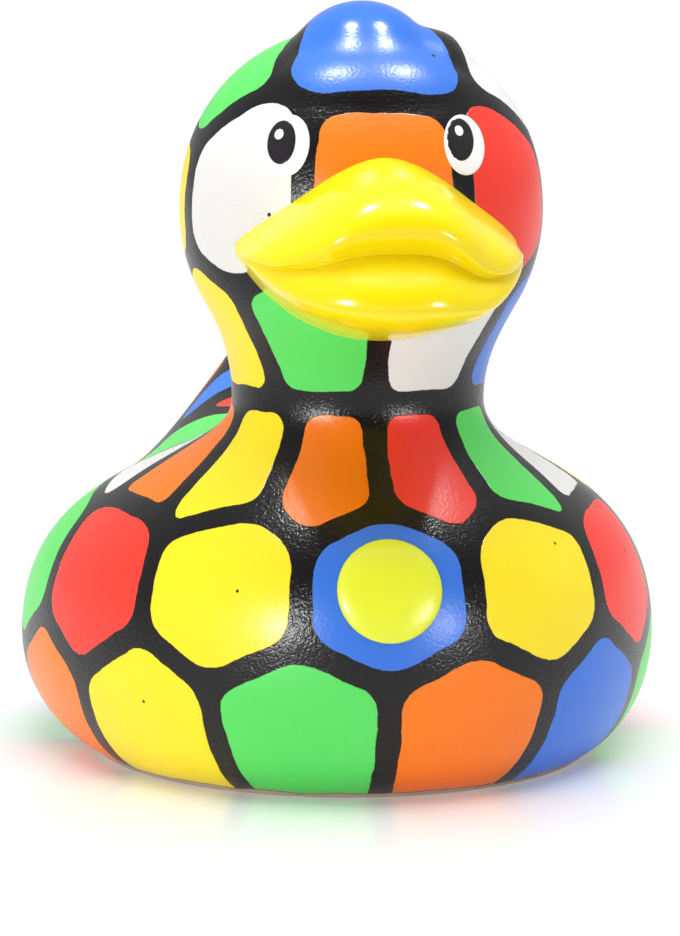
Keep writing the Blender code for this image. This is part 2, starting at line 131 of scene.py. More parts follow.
def side_guide(steps):
    """The duck's side, as half width, setback and height."""
    base = (BASE_HALF_WIDTH, (BASE_REAR - BASE_FRONT) / 2, 0.0)
    widest = (BODY_HALF_WIDTH, WIDEST_SETBACK, WIDEST_HEIGHT)
    flare = base[0] + BASE_FLARE * (widest[0] - base[0])
    base_handle = (flare, base[1], BASE_RISE * WIDEST_HEIGHT)
    widest_handle = (BODY_HALF_WIDTH, WIDEST_SETBACK, HULL_EASE * WIDEST_HEIGHT)
    neck = (NECK_RADIUS, -NECK_FORWARD, NECK_HEIGHT)
    shoulder_handle = (BODY_HALF_WIDTH, WIDEST_SETBACK, SHOULDER_HEIGHT)
    neck_handle = (NECK_RADIUS, -NECK_FORWARD, SHOULDER_HEIGHT)
    return ([Vector(base)] + bezier(base, base_handle, widest_handle, widest, steps["hull"])
            + bezier(widest, shoulder_handle, neck_handle, neck, steps["shoulder"]) + head_rings(steps))


def front_guide(steps):
    """The middle of the chest, throat and face."""
    base = (0.0, -BASE_FRONT, 0.0)
    chest = (0.0, -CHEST_REACH, CHEST_HEIGHT)
    neck = (0.0, -NECK_FORWARD - NECK_RADIUS, NECK_HEIGHT)
    rise = NECK_HEIGHT - CHEST_HEIGHT
    flare = base[1] + BASE_FLARE * (chest[1] - base[1])
    base_handle = (0.0, flare, BASE_RISE * CHEST_HEIGHT)
    chest_handle = (0.0, -CHEST_REACH, HULL_EASE * CHEST_HEIGHT)
    upper_handle = (0.0, -CHEST_REACH, CHEST_HEIGHT + CHEST_EASE * rise)
    neck_handle = (0.0, neck[1], NECK_HEIGHT - THROAT_EASE * rise)
    return ([Vector(base)] + bezier(base, base_handle, chest_handle, chest, steps["hull"])
            + bezier(chest, upper_handle, neck_handle, neck, steps["shoulder"])
            + [Vector((0.0, ring.y - ring.x, ring.z)) for ring in head_rings(steps)])


def rear_guide(steps):
    """The back as it runs beside the tail."""
    base = (0.0, BASE_REAR, 0.0)
    rump = (0.0, RUMP_REACH, RUMP_HEIGHT)
    nape = (0.0, NECK_RADIUS - NECK_FORWARD, NECK_HEIGHT)
    flare = base[1] + BASE_FLARE * (rump[1] - base[1])
    base_handle = (0.0, flare, BASE_RISE * RUMP_HEIGHT)
    rump_handle = (0.0, RUMP_REACH, HULL_EASE * RUMP_HEIGHT)
    back_handle = (0.0, RUMP_REACH, BACK_HEIGHT)
    nape_handle = (0.0, nape[1], SADDLE_HEIGHT - NAPE_DIP)
    return ([Vector(base)] + bezier(base, base_handle, rump_handle, rump, steps["hull"])
            + bezier(rump, back_handle, nape_handle, nape, steps["shoulder"])
            + [Vector((0.0, ring.y + ring.x, ring.z)) for ring in head_rings(steps)])


def tail_guide(steps):
    """The middle of the back, up the rump, over the tail's tip and through the saddle to the nape."""
    rump = Vector((0.0, RUMP_REACH, RUMP_HEIGHT))
    tip = Vector((0.0, TAIL_REACH, TAIL_HEIGHT))
    saddle = Vector((0.0, SADDLE_REACH, SADDLE_HEIGHT))
    nape = Vector((0.0, NECK_RADIUS - NECK_FORWARD, NECK_HEIGHT))
    over = Vector((0.0, -math.cos(TAIL_TIP_LEAN), math.sin(TAIL_TIP_LEAN))) * TAIL_TIP_ROUNDING
    up = Vector((0.0, 0.0, HULL_EASE * (TAIL_HEIGHT - RUMP_HEIGHT)))
    along = Vector((0.0, TAIL_EASE * (TAIL_REACH - SADDLE_REACH), 0.0))
    to_nape = Vector((0.0, SADDLE_EASE * (SADDLE_REACH - nape.y), 0.0))
    below_nape = nape - Vector((0.0, 0.0, HULL_EASE * (NECK_HEIGHT - SADDLE_HEIGHT)))
    outer = round(steps["shoulder"] * TAIL_SHARE)
    inner = round(steps["shoulder"] * SADDLE_SHARE)
    return (bezier(rump, rump + up, tip - over, tip, outer)
            + bezier(tip, tip + over, saddle + along, saddle, inner)
            + bezier(saddle, saddle - to_nape, below_nape, nape, steps["shoulder"] - outer - inner))


SIDE = side_guide(RING_STEPS)
FRONT = front_guide(RING_STEPS)
REAR = rear_guide(RING_STEPS)
# How far the middle of the back is drawn out to the tail at each ring.
PULL = [Vector()] * len(SIDE)
for ring, point in enumerate(tail_guide(RING_STEPS), start=RING_STEPS["hull"] + 1):
    PULL[ring] = point - REAR[ring]


def skin_point(ring, turn):
    """The skin's point on a ring, turned round from the front."""
    side, front, rear = SIDE[ring], FRONT[ring], REAR[ring]
    ahead = math.cos(turn)
    middle = (front + rear) / 2
    y = side.y + (front.y - rear.y) / 2 * ahead + (middle.y - side.y) * ahead ** 2
    z = side.z + (front.z - rear.z) / 2 * ahead + (middle.z - side.z) * ahead ** 2
    drawn = max(0.0, -ahead) ** TAIL_SHARPNESS
    return Vector((side.x * math.sin(turn), y, z)) + PULL[ring] * drawn


def lobe_radius(direction, centre, radii):
    """How far out a crest lobe reaches in a direction from the head's centre, or nothing."""
    d = Vector([direction[i] / radii[i] for i in range(3)])
    c = Vector([centre[i] / radii[i] for i in range(3)])
    half = d.dot(c)
    spare = half ** 2 - d.dot(d) * (c.dot(c) - 1)
    return (half + math.sqrt(spare)) / d.dot(d) if spare > 0 and half > 0 else 0.0


def soft_larger(first, second, width):
    """The larger of two lengths, with a fillet where they are nearly equal."""
    near = max(width - abs(first - second), 0.0)
    return max(first, second) + near ** 2 / (4 * width)


def with_crest(point):
    """Lifts a point of the round crown onto the crest."""
    out = point - HEAD_CENTRE
    if out.z < CREST_FOOT:
        return point
    direction = out.normalized()
    seen_forward = Vector((direction.x, -direction.y, direction.z))
    radius = out.length
    for centre, radii, fillet in CREST_LOBES:
        radius = soft_larger(radius, lobe_radius(seen_forward, centre, radii), fillet)
    return HEAD_CENTRE + direction * radius


def skin_level(level, turn):
    """The skin's point on a level: the vent's rings first, then the body's rings."""
    if level == 0:
        return Vector((0.0, VENT_SETBACK, VENT_DEPTH))
    if level <= len(VENT_RINGS):
        radius, height = VENT_RINGS[level - 1]
        return Vector((radius * math.sin(turn), VENT_SETBACK - radius * math.cos(turn), height))
    ring = level - len(VENT_RINGS) - 1
    if ring == len(SIDE):
        return with_crest(HEAD_CENTRE + Vector((0.0, 0.0, HEAD_RADIUS)))
    return with_crest(skin_point(ring, turn))


def make_skin():
    """One closed skin, from the inside of the vent over the base and up to the crown."""
    levels = len(VENT_RINGS) + len(SIDE) + 1
    mesh = bmesh.new()
    bmesh.ops.create_uvsphere(mesh, u_segments=TURN_STEPS, v_segments=levels, radius=1.0)
    for vert in mesh.verts:
        level = round(levels * math.acos(max(-1.0, min(1.0, -vert.co.z))) / math.pi)
        vert.co = skin_level(level, math.atan2(vert.co.x, -vert.co.y))
    rim = [edge for edge in mesh.edges
           if all(vert.co.z < TINY and vert.co.length > BASE_HALF_WIDTH / 2 for vert in edge.verts)]
    bmesh.ops.bevel(mesh, geom=rim, offset=BASE_EDGE_RADIUS / 2, segments=3, profile=0.5, affect="EDGES",
                    material=-1, clamp_overlap=True)
    return mesh


def add_piece(name, mesh, material):
    """A finished piece that rides on the duck's one body."""
    data = bpy.data.meshes.new(name)
    mesh.to_mesh(data)
    mesh.free()
    data.shade_smooth()
    data.materials.append(material)
    piece = bpy.data.objects.new(name, data)
    bpy.context.scene.collection.objects.link(piece)
    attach(piece, "root")
    return piece


# Mosaic paint
# A black ground coat is masked and sprayed over in rounded patches of six colours, which stand in
# staggered rows round the body and the head. The masks leave slightly uneven edges, and the sprayed
# coats dry with a fine orange-peel grain.

WHITE = (0.80, 0.79, 0.775)
RED = (0.93, 0.040, 0.022)
BLUE = (0.035, 0.175, 0.72)
ORANGE = (0.97, 0.20, 0.002)
GREEN = (0.10, 0.72, 0.12)
YELLOW = (0.97, 0.76, 0.010)
BLACK = (0.004, 0.003, 0.0035)
PAINTS = {"w": WHITE, "r": RED, "b": BLUE, "o": ORANGE, "g": GREEN, "y": YELLOW}
LINE_HALF_WIDTH = 1.35 * MM
CORNER_ROUNDING = 3.2 * MM
COLLAR_HEIGHT = 45.6 * MM
# Each row's share of its stretch, the stretch, the stagger in columns, and the paints from the front.
BODY_ROWS = (
    (0.50, "hull", 0.5, "obgryowbgoyg"),
    (0.22, "shoulder", 0.0, "byrgwobwogry"),
    (0.66, "shoulder", 0.5, "rgwyobrgwoyo"),
)
# Each tail patch's share of the shoulder stretch, its turn from behind in degrees, and its paint.
TAIL_PATCHES = (
    (0.42, 0.0, "g"), (0.36, 24.0, "o"), (0.36, -24.0, "y"),
    (0.54, 0.0, "w"), (0.60, 19.0, "b"), (0.60, -19.0, "r"),
)
# Each row's height, its stagger in columns, and the paints from the front.
HEAD_ROWS = (
    (52.5 * MM, 0.5, "wbyogyg"),
    (70.0 * MM, 0.0, "orgybyw"),
)
# Each crown patch's turn from the front and slope above the level, in degrees, and its paint.
CROWN_PATCHES = (
    (2.0, 66.0, "b"), (88.0, 46.0, "w"), (-92.0, 46.0, "g"),
    (132.0, 46.0, "y"), (-136.0, 46.0, "o"), (180.0, 50.0, "r"),
)
# The bare vinyl's colour is its own tone darkened by painted shade, as the rim at the foot stands in
# shade.
SHADED_BARE_VINYL = (0.55, 0.42, 0.33)
FOOT_LINE_BROWN = (0.22, 0.12, 0.07)
# The heights, less the edge's wander, over which the bare rim turns to a dark brown line, and that to the
# full coat.
FOOT_LINE_RISE = (-0.03 * MM, 0.12 * MM)
PAINT_RISE = (0.17 * MM, 0.27 * MM)
BASE_EDGE_WANDER = 0.9 * MM
MASK_WANDER = 0.7 * MM
MASK_BLEED = 0.12 * MM
SPECKS_PER_METRE = 320.0
SPECK_SHARE = 0.30
SPECK_SIZE = 0.08
BLACK_ROUGHNESS = 0.21
PATCH_ROUGHNESS = 0.28
ROUGHNESS_SPREAD = 0.08
CROWN_POLISH = 0.12
CROWN_GLOSS_RISE = (86.3 * MM, 89.4 * MM)
BLACK_GRAIN = 0.075 * MM
PATCH_GRAIN = 0.034 * MM
CROWN_GRAIN_LOSS = 0.7 * PATCH_GRAIN
CASTING_SWELL = 0.10 * MM
PATCH_THICKNESS = 0.05 * MM
SATIN_SHEEN = 0.32
# Each noise's count to the metre, its detail, and its roughness where that isn't a half.
MASK_EDGE_NOISE = (260.0, 3.0, 0.6)
COAT_NOISE = (45.0, 2.0)
PEEL_NOISE = (2600.0, 2.0, 0.55)
SWELL_NOISE = (170.0, 1.0)
# The spread and the least of the coat's brightness.
COAT_BRIGHTNESS = (0.16, 0.92)


def out_from_head(turn, slope):
    """A direction out of the head, turned from the front and sloped above the level, in degrees."""
    turn, slope = math.radians(turn), math.radians(slope)
    level = math.cos(slope)
    return Vector((math.sin(turn) * level, -math.cos(turn) * level, math.sin(slope)))


def body_patches():
    """Centres and paint names of the patches round the body and the tail."""
    patches = []
    for share, stretch, stagger, paints in BODY_ROWS:
        start = 0 if stretch == "hull" else RING_STEPS["hull"]
        ring = start + round(share * RING_STEPS[stretch])
        for column, paint in enumerate(paints):
            patches.append((skin_point(ring, math.tau * (column + stagger) / len(paints)), paint))
    for share, turn, paint in TAIL_PATCHES:
        ring = RING_STEPS["hull"] + round(share * RING_STEPS["shoulder"])
        patches.append((skin_point(ring, math.pi + math.radians(turn)), paint))
    return patches


def head_patches():
    """Centres and paint names of the patches round the throat, the face and the crown."""
    patches = []
    for height, stagger, paints in HEAD_ROWS:
        ring = min(head_rings(RING_STEPS), key=lambda item: abs(item.z - height))
        for column, paint in enumerate(paints):
            turn = math.tau * (column + stagger) / len(paints)
            centre = Vector((ring.x * math.sin(turn), ring.y - ring.x * math.cos(turn), ring.z))
            patches.append((centre, paint))
    for turn, slope, paint in CROWN_PATCHES:
        patches.append((HEAD_CENTRE + out_from_head(turn, slope) * HEAD_RADIUS, paint))
    return patches


def distances_to_edges(points, patches):
    """How far each point lies from the edges that its patch shares, and the number of that patch."""
    centres = np.array([centre for centre, _ in patches])
    away = ((points[:, None, :] - centres[None, :, :]) ** 2).sum(axis=2)
    own = away.argmin(axis=1)
    rows = np.arange(len(own))
    spacing = np.sqrt(((centres[own][:, None, :] - centres[None, :, :]) ** 2).sum(axis=2))
    spacing[rows, own] = 1.0
    inside = (away - away[rows, own][:, None]) / (2 * spacing)
    inside[rows, own] = 1.0
    return inside, own


def rounded_least(distances, rounding):
    """The least distance, eased where two edges meet so that corners come out round."""
    nearest = distances.min(axis=1)
    over = np.clip(rounding - distances, 0.0, None)
    corner = rounding - np.sqrt((over ** 2).sum(axis=1))
    return np.where(nearest < rounding, corner, nearest)


def paint_mosaic(data):
    """Writes each point's patch colour and its distance inside the patch onto the skin."""
    points = np.empty(len(data.vertices) * 3)
    data.vertices.foreach_get("co", points)
    points = points.reshape(-1, 3)
    colours = np.ones((len(points), 4))
    distance = np.zeros(len(points))
    below = points[:, 2] < COLLAR_HEIGHT
    for chosen, patches in ((below, body_patches()), (~below, head_patches())):
        inside, own = distances_to_edges(points[chosen], patches)
        collar = np.abs(points[chosen, 2] - COLLAR_HEIGHT)[:, None]
        distance[chosen] = rounded_least(np.hstack([inside, collar]), CORNER_ROUNDING)
        colours[chosen, :3] = np.array([PAINTS[paint] for _, paint in patches])[own]
    # Inside the vent the skin takes the black ground: painted shade in the hole.
    shaded_vent = np.hypot(points[:, 0], points[:, 1] - VENT_SETBACK) < 2 * VENT_RADIUS
    distance[shaded_vent & (points[:, 2] < 2 * VENT_DEPTH)] = 0.0
    data.attributes.new("patch_distance", "FLOAT", "POINT").data.foreach_set("value", distance)
    data.attributes.new("patch_colour", "FLOAT_COLOR", "POINT").data.foreach_set("color", colours.ravel())


def new_material(name):
    """A material with its node tree and its shader."""
    material = bpy.data.materials.new(name)
    material.use_nodes = True
    return material, material.node_tree, material.node_tree.nodes["Principled BSDF"]


def add_node(tree, kind, name, **values):
    """A named node with its input values set by socket name."""
    node = tree.nodes.new(kind)
    node.name = node.label = name
    for socket, value in values.items():
        node.inputs[socket.replace("_", " ")].default_value = value
    return node


def feed(tree, socket, value):
    """Gives a socket a plain value, or another node's output."""
    if isinstance(value, bpy.types.NodeSocket):
        tree.links.new(value, socket)
    else:
        socket.default_value = value


def math_node(tree, operation, *values):
    """One step of arithmetic on numbers or on other nodes' outputs."""
    node = tree.nodes.new("ShaderNodeMath")
    node.operation = operation
    for socket, value in zip(node.inputs, values):
        feed(tree, socket, value)
    return node.outputs[0]


def varied(tree, share, spread, least):
    """A value that rises from the least by the spread, as a share runs from nothing to one."""
    return math_node(tree, "MULTIPLY_ADD", share, spread, least)


def mix_colour(tree, share, first, second):
    """One colour laid over another; each is a plain colour or another node's output."""
    mix = tree.nodes.new("ShaderNodeMix")
    mix.data_type = "RGBA"
    tree.links.new(share, mix.inputs[0])
    for socket, colour in ((mix.inputs[6], first), (mix.inputs[7], second)):
        feed(tree, socket, (*colour, 1.0) if isinstance(colour, tuple) else colour)
    return mix.outputs[2]


def add_ramp(tree, value, start, end, low=0.0, high=1.0):
    """A value that rises softly from low to high between a start and an end."""
    ramp = add_node(tree, "ShaderNodeMapRange", "Soft rise", From_Min=start, From_Max=end,
                    To_Min=low, To_Max=high)
    ramp.interpolation_type = "SMOOTHSTEP"
    tree.links.new(value, ramp.inputs["Value"])
    return ramp.outputs[0]


def add_noise(tree, name, scale, detail, roughness=0.5):
    """A noise fixed to the piece, from nothing to one."""
    place = tree.nodes.new("ShaderNodeTexCoord")
    noise = add_node(tree, "ShaderNodeTexNoise", name, Scale=scale, Detail=detail, Roughness=roughness)
    tree.links.new(place.outputs["Object"], noise.inputs["Vector"])
    return noise.outputs[0]


def add_specks(tree, per_metre, share, size):
    """Scattered specks: a share of the cells of a fine lattice hold one each."""
    place = tree.nodes.new("ShaderNodeTexCoord")
    cells = add_node(tree, "ShaderNodeTexVoronoi", "Specks", Scale=per_metre)
    tree.links.new(place.outputs["Object"], cells.inputs["Vector"])
    near = math_node(tree, "LESS_THAN", cells.outputs["Distance"], size)
    picked = math_node(tree, "LESS_THAN", cells.outputs["Color"], share)
    return math_node(tree, "MULTIPLY", near, picked)


def orange_peel_group():
    """The fine uneven surface of a sprayed coat on a casting, as a height in metres."""
    group = bpy.data.node_groups.new("orange_peel", "ShaderNodeTree")
    for name in ("Grain", "Swell"):
        group.interface.new_socket(name=name, in_out="INPUT", socket_type="NodeSocketFloat")
    group.interface.new_socket(name="Height", in_out="OUTPUT", socket_type="NodeSocketFloat")
    given = group.nodes.new("NodeGroupInput")
    result = group.nodes.new("NodeGroupOutput")
    fine = add_noise(group, "Peel", *PEEL_NOISE)
    slow = add_noise(group, "Swell of the casting", *SWELL_NOISE)
    peel = math_node(group, "MULTIPLY", fine, given.outputs["Grain"])
    swell = math_node(group, "MULTIPLY", slow, given.outputs["Swell"])
    group.links.new(math_node(group, "ADD", peel, swell), result.inputs["Height"])
    return group


ORANGE_PEEL = orange_peel_group()


def add_peel(tree, grain, swell):
    node = tree.nodes.new("ShaderNodeGroup")
    node.node_tree = ORANGE_PEEL
    feed(tree, node.inputs["Grain"], grain)
    feed(tree, node.inputs["Swell"], swell)
    return node.outputs["Height"]


def add_relief(tree, shader, height):
    """Turns a height in metres into the way that the surface faces."""
    bump = add_node(tree, "ShaderNodeBump", "Coat surface", Strength=1.0, Distance=1.0)
    tree.links.new(height, bump.inputs["Height"])
    tree.links.new(bump.outputs[0], shader.inputs["Normal"])


def mosaic_material():
    """Black ground, sprayed patches with specks, and a bare rim at the base, darkened by painted shade,
    under a dark brown line.
    """
    material, tree, shader = new_material("mosaic_paint")
    place = tree.nodes.new("ShaderNodeTexCoord")
    height = add_node(tree, "ShaderNodeSeparateXYZ", "Height above the base")
    tree.links.new(place.outputs["Object"], height.inputs[0])
    distance = tree.nodes.new("ShaderNodeAttribute")
    distance.attribute_name = "patch_distance"
    colour = tree.nodes.new("ShaderNodeAttribute")
    colour.attribute_name = "patch_colour"
    wander = add_noise(tree, "Uneven mask edge", *MASK_EDGE_NOISE)
    tone = add_noise(tree, "Thickness of the coat", *COAT_NOISE)

    shift = math_node(tree, "MULTIPLY_ADD", wander, MASK_WANDER, -MASK_WANDER / 2)
    moved = math_node(tree, "ADD", distance.outputs["Fac"], shift)
    mask = add_ramp(tree, moved, LINE_HALF_WIDTH, LINE_HALF_WIDTH + MASK_BLEED)
    crown = add_ramp(tree, height.outputs["Z"], *CROWN_GLOSS_RISE)
    shade = add_node(tree, "ShaderNodeHueSaturation", "Thin and thick paint")
    tree.links.new(varied(tree, tone, *COAT_BRIGHTNESS), shade.inputs["Value"])
    tree.links.new(colour.outputs["Color"], shade.inputs["Color"])
    specks = add_specks(tree, SPECKS_PER_METRE, SPECK_SHARE, SPECK_SIZE)
    cover = math_node(tree, "MAXIMUM", math_node(tree, "SUBTRACT", mask, specks), 0.0)
    painted = mix_colour(tree, cover, BLACK, shade.outputs[0])
    rise = math_node(tree, "MULTIPLY_ADD", wander, -BASE_EDGE_WANDER, height.outputs["Z"])
    # The bare rim carries painted shade; above it runs a dark brown line, then the paint.
    bare = mix_colour(tree, add_ramp(tree, rise, *FOOT_LINE_RISE), SHADED_BARE_VINYL, FOOT_LINE_BROWN)
    finish = mix_colour(tree, add_ramp(tree, rise, *PAINT_RISE), bare, painted)
    tree.links.new(finish, shader.inputs["Base Color"])

    rough = varied(tree, mask, PATCH_ROUGHNESS - BLACK_ROUGHNESS, BLACK_ROUGHNESS)
    polished = math_node(tree, "MULTIPLY_ADD", crown, -CROWN_POLISH, rough)
    uneven = math_node(tree, "MULTIPLY_ADD", tone, ROUGHNESS_SPREAD, polished)
    tree.links.new(uneven, shader.inputs["Roughness"])
    shader.inputs["Specular IOR Level"].default_value = SATIN_SHEEN
    grain = varied(tree, mask, PATCH_GRAIN - BLACK_GRAIN, BLACK_GRAIN)
    grain = math_node(tree, "MULTIPLY_ADD", crown, -CROWN_GRAIN_LOSS, grain)
    film = math_node(tree, "MULTIPLY", mask, PATCH_THICKNESS)
    add_relief(tree, shader, math_node(tree, "ADD", add_peel(tree, grain, CASTING_SWELL), film))
    return material


def coat_material(name, first, second, noise, roughness, grain, swell):
    """One wiped, dipped or printed colour, which varies a little as the coat thins and thickens.

    The noise is its count to the metre and its detail, and the roughness is its spread and its least.
    """
    material, tree, shader = new_material(name)
    tone = add_noise(tree, "Thickness of the coat", *noise)
    tree.links.new(mix_colour(tree, tone, first, second), shader.inputs["Base Color"])
    tree.links.new(varied(tree, tone, *roughness), shader.inputs["Roughness"])
    add_relief(tree, shader, add_peel(tree, grain, swell))
    return material


skin = add_piece("painted_skin", make_skin(), mosaic_material())
paint_mosaic(skin.data)
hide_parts("duck")
skin_tree = BVHTree.FromPolygons([vert.co for vert in skin.data.vertices],
                                 [face.vertices for face in skin.data.polygons])

# Bill
# The two lips are part of the casting and stand out from the face between the cheeks. They are dipped
# in a glossy yellow whose tone varies a little as the coat thins and thickens.

BILL_WIDTH = 32.8 * MM
BILL_CORNER_REACH = 14.2 * MM
BILL_ROOT_DEPTH = 6.0 * MM
UPPER_LIP_REACH = 35.3 * MM
LOWER_LIP_REACH = 36.6 * MM
BRIDGE_HEIGHT = 8.6 * MM
CHEEK_HEIGHT = -0.3 * MM
DOME_HEIGHT = 12.2 * MM
DOME_FALL = 15.0 * MM
WING_FOLD = 0.8 * MM
MOUTH_HEIGHT = -4.65 * MM
MOUTH_WAVE = 1.45 * MM
MOUTH_LIFT = 1.3 * MM
MOUTH_DEPTH = 2.3 * MM
LIP_EDGE = 0.5 * MM
LIP_ARCH = 2.7 * MM
LIP_OVERLAP = 0.6 * MM
RIM_HEIGHT = -8.8 * MM
CHIN_HEIGHT = -14.4 * MM
# Shapes of the bill's curves: places across it run from 0 in the middle to 1 at a corner.
PLAN_BLUNTNESS = 3.0
POUT_BLUNTNESS = 2.3
CORNER_BLUNTNESS = 20
RIDGE_POWER = 0.6
BRIDGE_BLUNTNESS = 0.01
DOME_BLUNTNESS = 0.15
WING_START = 0.63
WING_WIDTH = 0.13
MOUTH_TROUGH = 0.64
TROUGH_POWER = 1.6
LIFT_WIDTH = 0.26
ARCH_END = 0.85
ARCH_BLUNTNESS = 3
ARCH_SOFTNESS = 1.5
LIP_ROLL = 0.3
CHIN_SHARPNESS = 2.3
# How far the handles of the bill's curves reach, as shares of the stretch that they ease.
ROOF_EASE = 0.36
BROW_LEAN = 0.02
BROW_DROP = 0.85
PALATE_RUN = 0.2
PALATE_RISE = 0.4
SHELF_RUN = 0.5
SHELF_FALL = 0.36
RIM_EASE = 0.45
CHIN_EASE = 0.6
HEEL_EASE = 0.45
LIP_COLUMNS = 120
SECTION_STEPS = {"bridge": 34, "roll": 22, "mouth": 8}
BILL_YELLOW = (0.97, 0.79, 0.004)
BILL_DEEP_YELLOW = (0.93, 0.70, 0.004)
BILL_COAT_NOISE = (60.0, 2.0)
BILL_ROUGHNESS = (0.08, 0.14)
BILL_GRAIN = 0.003 * MM
BILL_SHEEN = 0.38


def hump(place, middle, width):
    """A smooth hump of height one."""
    return math.exp(-((place - middle) / width) ** 2)


class BillForm:
    """The bill's measures at each place across it, from -1 at one corner to 1 at the other."""

    def __init__(self, across):
        away = abs(across)
        self.across = across
        self.open = math.sqrt(max(0.0, 1 - away ** PLAN_BLUNTNESS))
        self.pout = math.sqrt(max(0.0, 1 - away ** POUT_BLUNTNESS))
        self.plump = math.sqrt(max(0.0, 1 - away ** CORNER_BLUNTNESS))
        self.fold = WING_FOLD * hump(away, WING_START, WING_WIDTH)
        share = away / MOUTH_TROUGH
        wave = math.cos(math.pi * (share ** TROUGH_POWER if share < 1 else share))
        lift = MOUTH_LIFT * hump(across, -WING_START, LIFT_WIDTH)
        self.mouth = MOUTH_HEIGHT + MOUTH_WAVE * wave + lift
        self.root = BILL_CORNER_REACH - BILL_ROOT_DEPTH * self.open

    def reach(self, middle_reach, opening):
        return BILL_CORNER_REACH + (middle_reach - BILL_CORNER_REACH) * opening

    def height(self, above_mouth):
        return self.mouth + above_mouth * self.plump

    def ridge(self, bluntness):
        """How far the bill's roof has fallen off towards the corners."""
        return (self.across ** 2 + bluntness) ** RIDGE_POWER

    def inner(self):
        """Where the two lips meet at the back of the mouth."""
        return Vector((self.reach(UPPER_LIP_REACH, self.open) - MOUTH_DEPTH * self.open, self.mouth))

    def place(self, forward, height):
        return HEAD_CENTRE + Vector((self.across * BILL_WIDTH / 2, -forward, height))


def straight(start, end, steps):
    """Even steps along a line, without its first point."""
    return [start.lerp(end, step / steps) for step in range(1, steps + 1)]


def upper_section(form):
    """From the root's top over the dome to the lip's arched edge, into the mouth and to the root."""
    top = BRIDGE_HEIGHT + (CHEEK_HEIGHT - BRIDGE_HEIGHT) * form.ridge(BRIDGE_BLUNTNESS)
    crown = form.height(DOME_HEIGHT - DOME_FALL * form.ridge(DOME_BLUNTNESS) - form.mouth)
    arched = max(0.0, 1 - abs(form.across / ARCH_END) ** ARCH_BLUNTNESS) ** ARCH_SOFTNESS
    root = Vector((form.root, form.height(top - form.mouth)))
    lip = form.reach(UPPER_LIP_REACH, form.open) - form.fold
    edge = Vector((lip, form.height(LIP_EDGE + LIP_ARCH * arched)))
    inner = form.inner()
    span = edge.x - root.x
    over_root = (root.x + ROOF_EASE * span, crown)
    over_edge = Vector((edge.x - BROW_LEAN * span, edge.y + BROW_DROP * (crown - edge.y)))
    below_edge = edge + (edge - over_edge) * LIP_ROLL
    above_inner = inner + Vector((PALATE_RUN * (edge.x - inner.x), PALATE_RISE * (edge.y - inner.y)))
    back = Vector((form.root, form.height(-LIP_OVERLAP)))
    return ([root] + bezier(root, over_root, over_edge, edge, SECTION_STEPS["bridge"])
            + bezier(edge, below_edge, above_inner, inner, SECTION_STEPS["roll"])
            + straight(inner, back, SECTION_STEPS["mouth"]))


def lower_section(form):
    """From the root's top inside the mouth over the lower lip and under the chin to the root."""
    middle_mouth = MOUTH_HEIGHT + MOUTH_WAVE
    chin = CHIN_HEIGHT + (form.mouth - CHIN_HEIGHT) * abs(form.across) ** CHIN_SHARPNESS
    rim_share = (RIM_HEIGHT - middle_mouth) / (CHIN_HEIGHT - middle_mouth)
    top = Vector((form.root, form.height(LIP_OVERLAP)))
    inner = form.inner()
    lip = form.reach(LOWER_LIP_REACH, form.pout)
    rim = Vector((lip, form.mouth + (chin - form.mouth) * rim_share))
    heel = Vector((form.root, chin))
    on_shelf = inner + Vector((SHELF_RUN * (rim.x - inner.x), SHELF_FALL * (rim.y - inner.y)))
    above_rim = (rim.x, rim.y + RIM_EASE * (inner.y - rim.y))
    below_rim = (rim.x, rim.y + CHIN_EASE * (chin - rim.y))
    before_heel = (heel.x + HEEL_EASE * (rim.x - heel.x), chin)
    return ([top] + straight(top, inner, SECTION_STEPS["mouth"])
            + bezier(inner, on_shelf, above_rim, rim, SECTION_STEPS["roll"])
            + bezier(rim, below_rim, before_heel, heel, SECTION_STEPS["bridge"]))


def make_lip(section):
    """A round mesh with its poles at the corners of the mouth, laid on a lip's sections."""
    around = len(section(BillForm(0.0)))
    mesh = bmesh.new()
    bmesh.ops.create_uvsphere(mesh, u_segments=around, v_segments=LIP_COLUMNS, radius=1.0)
    sections = {}
    for vert in mesh.verts:
        across = round(vert.co.z, 5)
        if across not in sections:
            form = BillForm(vert.co.z)
            sections[across] = (form, section(form))
        form, points = sections[across]
        step = round(around * math.atan2(vert.co.y, vert.co.x) / math.tau) % around
        if abs(vert.co.z) > 1 - TINY:
            vert.co = form.place(BILL_CORNER_REACH, form.mouth)
        else:
            vert.co = form.place(*points[step])
    bmesh.ops.recalc_face_normals(mesh, faces=mesh.faces)
    return mesh


bill_gloss = coat_material("bill_gloss", BILL_DEEP_YELLOW, BILL_YELLOW, BILL_COAT_NOISE, BILL_ROUGHNESS,
                           BILL_GRAIN, CASTING_SWELL)
bill_gloss.node_tree.nodes["Principled BSDF"].inputs["Specular IOR Level"].default_value = BILL_SHEEN
for name, section in (("upper_lip", upper_section), ("lower_lip", lower_section)):
    lip = add_piece(name, make_lip(section), bill_gloss)

# Chest boss
# A low round boss is moulded on the chest in the middle of a blue patch and wiped over with
# yellow-green.

BOSS_DIAMETER = 12.0 * MM
BOSS_RELIEF = 0.7 * MM
BOSS_HEIGHT = 26.0 * MM
BOSS_EDGE = 0.35
BOSS_GREEN = (0.74, 0.83, 0.02)
BOSS_PALE_GREEN = (0.84, 0.87, 0.03)
BOSS_COAT_NOISE = (150.0, 3.0)
BOSS_ROUGHNESS = (0.1, 0.26)
BOSS_GRAIN = 0.012 * MM
BOSS_SWELL = 0.05 * MM
DROP_HEIGHT = 20 * MM


def chest_place(height):
    """The chest's middle point at a height and the directions out of it and up along it."""
    index = min(range(1, len(FRONT) - 1), key=lambda item: abs(FRONT[item].z - height))
    up = (FRONT[index + 1] - FRONT[index - 1]).normalized()
    return FRONT[index], Vector((0.0, -up.z, up.y)), up


